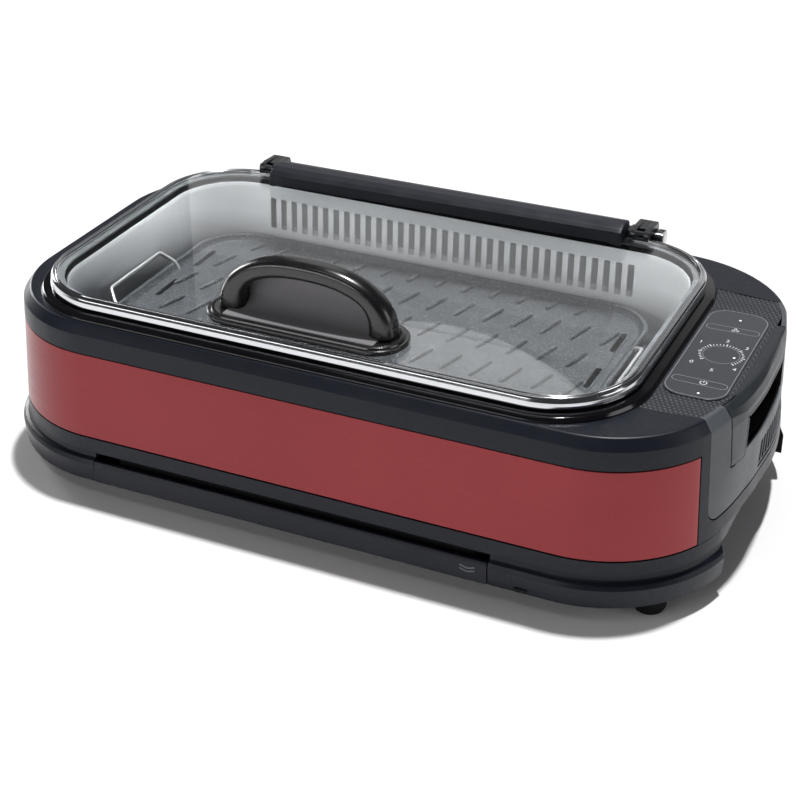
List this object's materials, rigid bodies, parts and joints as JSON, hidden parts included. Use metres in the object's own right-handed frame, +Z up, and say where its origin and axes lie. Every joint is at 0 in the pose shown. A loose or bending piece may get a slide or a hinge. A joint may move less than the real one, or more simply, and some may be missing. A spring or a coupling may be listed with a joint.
{
  "type": "electric indoor grill",
  "caption": "Electric indoor grill with flat framed glass lid, ribbed lift-out plate, pull-out drip tray, red wrap-around band and bulged touch-control end",
  "frame": {"origin": "on the floor under the middle of the overall box", "axes": "+X to the control end along the long side, -Y to the front with the drip tray, +Z up"},
  "size_m": [0.536, 0.302, 0.188],
  "materials": {
    "base_plate": "fine matt texture, black",
    "feet": "soft black rubber",
    "foot_screws": "zinc plated",
    "case_screws": "zinc plated",
    "skirt": "satin midnight navy",
    "red_band": "metallic red lacquer over steel",
    "body_shell": "satin charcoal",
    "bezel": "satin midnight navy",
    "lid_collar": "gloss black",
    "well_liner": "satin aluminised steel",
    "drip_chute": "satin aluminised steel",
    "vent_duct": "galvanised sheet",
    "rear_vent_cover": "satin charcoal",
    "control_cheek": "satin dark grey",
    "texture_inlay": "knurled dark grey",
    "touch_panel": "smooth satin film, white print",
    "control_board": "solder masked board with parts",
    "power_board": "solder masked board with relay and capacitors",
    "carry_handle": "satin grey green",
    "hand_cup": "matt black",
    "side_louvre": "satin charcoal",
    "fan_scroll": "matt black",
    "fan_motor": "plated can",
    "fan_shaft": "ground steel",
    "fan_wheel": "glass filled nylon",
    "heating_element": "heat tinted dark steel sheath",
    "element_supports": "pressed steel",
    "reflector": "bright aluminised sheet",
    "terminal_block": "unglazed steatite",
    "thermostat_probe": "copper bulb",
    "thermostat_body": "brown phenolic",
    "inlet_shroud": "matt black",
    "inlet_pins": "plated brass",
    "tray_rails": "matt black",
    "hinge_brackets": "satin black",
    "drip_tray": "black enamel",
    "tray_fascia": "satin midnight navy",
    "grill_plate": "die-cast plate with dark grey non-stick coat",
    "plate_loops": "bright wire",
    "hinge_pins": "ground steel",
    "lid_glass": "tempered clear",
    "lid_ring": "polished stainless",
    "lid_gasket": "black silicone",
    "grip_base": "gloss black phenolic",
    "lid_grip": "gloss black phenolic",
    "grip_screws": "stainless",
    "hinge_bar": "satin midnight navy",
    "hinge_clips": "gloss black"
  },
  "bodies": {
    "housing": {"base_plate": "base_plate", "feet": "feet", "foot_screws": "foot_screws", "case_screws": "case_screws", "skirt": "skirt", "red_band": "red_band", "body_shell": "body_shell", "bezel": "bezel", "lid_collar": "lid_collar", "well_liner": "well_liner", "drip_chute": "drip_chute", "vent_duct": "vent_duct", "rear_vent_cover": "rear_vent_cover", "control_cheek": "control_cheek", "texture_inlay": "texture_inlay", "touch_panel": "touch_panel", "control_board": "control_board", "power_board": "power_board", "carry_handle": "carry_handle", "hand_cup": "hand_cup", "side_louvre": "side_louvre", "fan_scroll": "fan_scroll", "fan_motor": "fan_motor", "heating_element": "heating_element", "element_supports": "element_supports", "reflector": "reflector", "terminal_block": "terminal_block", "thermostat_probe": "thermostat_probe", "thermostat_body": "thermostat_body", "inlet_shroud": "inlet_shroud", "inlet_pins": "inlet_pins", "tray_rails": "tray_rails", "hinge_brackets": "hinge_brackets"},
    "lid_carrier": {"hinge_pins": "hinge_pins"},
    "lid": {"lid_glass": "lid_glass", "lid_ring": "lid_ring", "lid_gasket": "lid_gasket", "grip_base": "grip_base", "lid_grip": "lid_grip", "grip_screws": "grip_screws", "hinge_bar": "hinge_bar", "hinge_clips": "hinge_clips"},
    "tray": {"drip_tray": "drip_tray", "tray_fascia": "tray_fascia"},
    "plate": {"grill_plate": "grill_plate", "plate_loops": "plate_loops"},
    "fan_rotor": {"fan_shaft": "fan_shaft", "fan_wheel": "fan_wheel"}
  },
  "joints": [
    {"name": "lid_liftoff", "type": "slide", "parent": "housing", "child": "lid_carrier", "axis": [0, 0, 1], "range_m": [0, 0.03]},
    {"name": "lid_hinge", "type": "hinge", "parent": "lid_carrier", "child": "lid", "pos_m": [-0.0155, 0.137, 0.14], "axis": [-1, 0, 0], "range_deg": [0, 85]},
    {"name": "tray_slide", "type": "slide", "parent": "housing", "child": "tray", "axis": [0, -1, 0], "range_m": [0, 0.2]},
    {"name": "plate_lift", "type": "slide", "parent": "housing", "child": "plate", "axis": [0, 0, 1], "range_m": [0, 0.025]},
    {"name": "fan_spin", "type": "hinge", "parent": "housing", "child": "fan_rotor", "pos_m": [0.216, 0.071, 0.07], "axis": [1, 0, 0], "continuous": true}
  ]
}
